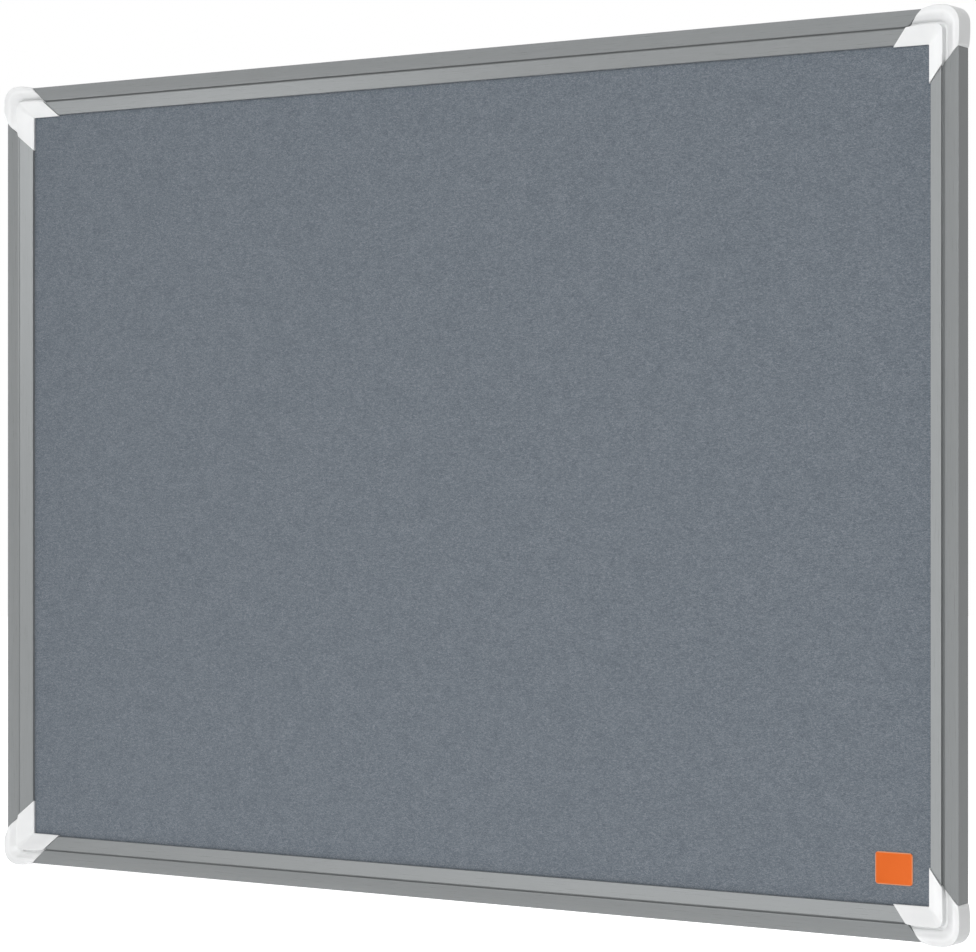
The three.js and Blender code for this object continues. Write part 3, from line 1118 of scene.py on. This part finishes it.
# Each panel faces the board's middle: degrees to the left of straight ahead, degrees up, distance
# and size in m, and how bright its face is
lampSettings = [
    {"name": "low front", "left": -8, "up": -24, "away": 1.4, "size": (0.75, 0.45), "glow": 3.6,
     "inGloss": False},
    {"name": "far left panel", "left": 92, "up": 0, "away": 3.0, "size": (1.2, 2.2), "glow": 5.2,
     "inGloss": True},
    {"name": "far left fill", "left": 94, "up": 0, "away": 2.6, "size": (1.0, 1.8), "glow": 4.4,
     "inGloss": False},
    {"name": "far right fill", "left": -80, "up": 0, "away": 3.0, "size": (1.0, 1.6), "glow": 1.6,
     "inGloss": False},
    {"name": "camera panel", "left": -18, "up": 17, "away": 2.2, "size": (0.95, 1.1), "glow": 6.2,
     "inGloss": True},
    {"name": "low left panel", "left": 60, "up": -38, "away": 1.6, "size": (0.8, 0.7), "glow": 5.6,
     "inGloss": True},
    {"name": "high left panel", "left": 34, "up": 38, "away": 2.4, "size": (1.3, 1.0), "glow": 1.8,
     "inGloss": True},
    {"name": "back panel", "left": 180, "up": 25, "away": 4.0, "size": (3.0, 2.0), "glow": 4.0,
     "inGloss": False},
]


def makeFloor():
    bm = bmesh.new()
    bmesh.ops.create_circle(bm, cap_ends=True, segments=64, radius=stageSettings["floorRadius"])
    bmesh.ops.translate(bm, verts=bm.verts[:], vec=(0, 0, stageSettings["floorHeight"]))
    material, tree, surface = newMaterial("pale floor")
    surface.inputs["Base Color"].default_value = colour(*stageSettings["floorColour"])
    surface.inputs["Roughness"].default_value = 0.9
    surface.inputs["Specular IOR Level"].default_value = 0.0
    # Seen by the camera or in a gloss, the floor glows up to white further out, and seen from below
    # it is clear
    path = addNode(tree, "ShaderNodeLightPath")
    seen = maths(tree, "MAXIMUM", path.outputs["Is Camera Ray"], path.outputs["Is Glossy Ray"])
    seen = maths(tree, "MAXIMUM", seen, path.outputs["Is Transmission Ray"])
    geometry = addNode(tree, "ShaderNodeNewGeometry")
    far = addNode(
        tree, "ShaderNodeVectorMath", {0: geometry.outputs["Position"]}, operation="LENGTH"
    )
    share = spread(tree, far.outputs["Value"], stageSettings["glowStart"], stageSettings["glowEnd"],
                   stageSettings["glowNear"], stageSettings["glowFar"])
    glow = addNode(tree, "ShaderNodeEmission",
                   {"Color": colour(1, 1, 1), "Strength": maths(tree, "MULTIPLY", seen, share)})
    lit = addNode(tree, "ShaderNodeAddShader")
    tree.links.new(surface.outputs["BSDF"], lit.inputs[0])
    tree.links.new(glow.outputs["Emission"], lit.inputs[1])
    clear = addNode(tree, "ShaderNodeBsdfTransparent")
    choose = addNode(tree, "ShaderNodeMixShader", {"Fac": geometry.outputs["Backfacing"]})
    tree.links.new(lit.outputs["Shader"], choose.inputs[1])
    tree.links.new(clear.outputs["BSDF"], choose.inputs[2])
    output = next(node for node in tree.nodes if node.type == "OUTPUT_MATERIAL")
    tree.links.new(choose.outputs["Shader"], output.inputs["Surface"])
    floor = finishPiece("floor", bm, [material])


def makeWorld():
    # White wherever it is seen, and dimmer as a light on the object
    world = bpy.data.worlds.new("studio")
    world.use_nodes = True
    tree = world.node_tree
    back = next(node for node in tree.nodes if node.type == "BACKGROUND")
    back.inputs["Color"].default_value = colour(1, 1, 1)
    path = addNode(tree, "ShaderNodeLightPath")
    seen = maths(tree, "MAXIMUM", path.outputs["Is Camera Ray"], path.outputs["Is Glossy Ray"])
    seen = maths(tree, "MAXIMUM", seen, path.outputs["Is Transmission Ray"])
    strength = spread(tree, seen, 0.0, 1.0, stageSettings["worldDim"], 1.0)
    tree.links.new(strength, back.inputs["Strength"])
    bpy.context.scene.world = world


def makeLamps():
    for settings in lampSettings:
        width, height = settings["size"]
        data = bpy.data.lights.new(settings["name"], "AREA")
        data.shape = "RECTANGLE"
        data.size, data.size_y = width, height
        data.energy = settings["glow"] * math.pi * width * height
        left, up = math.radians(settings["left"]), math.radians(settings["up"])
        level = math.cos(up)
        towards = Vector((-math.sin(left) * level, -math.cos(left) * level, math.sin(up)))
        lamp = bpy.data.objects.new(settings["name"], data)
        lamp.location = towards * settings["away"]
        lamp.rotation_euler = (-towards).to_track_quat("-Z", "Y").to_euler()
        lamp.visible_glossy = settings["inGloss"]
        bpy.context.scene.collection.objects.link(lamp)


makeFloor()
makeWorld()
makeLamps()
bpy.context.scene.view_settings.view_transform = "Standard"
print("stage and light made")
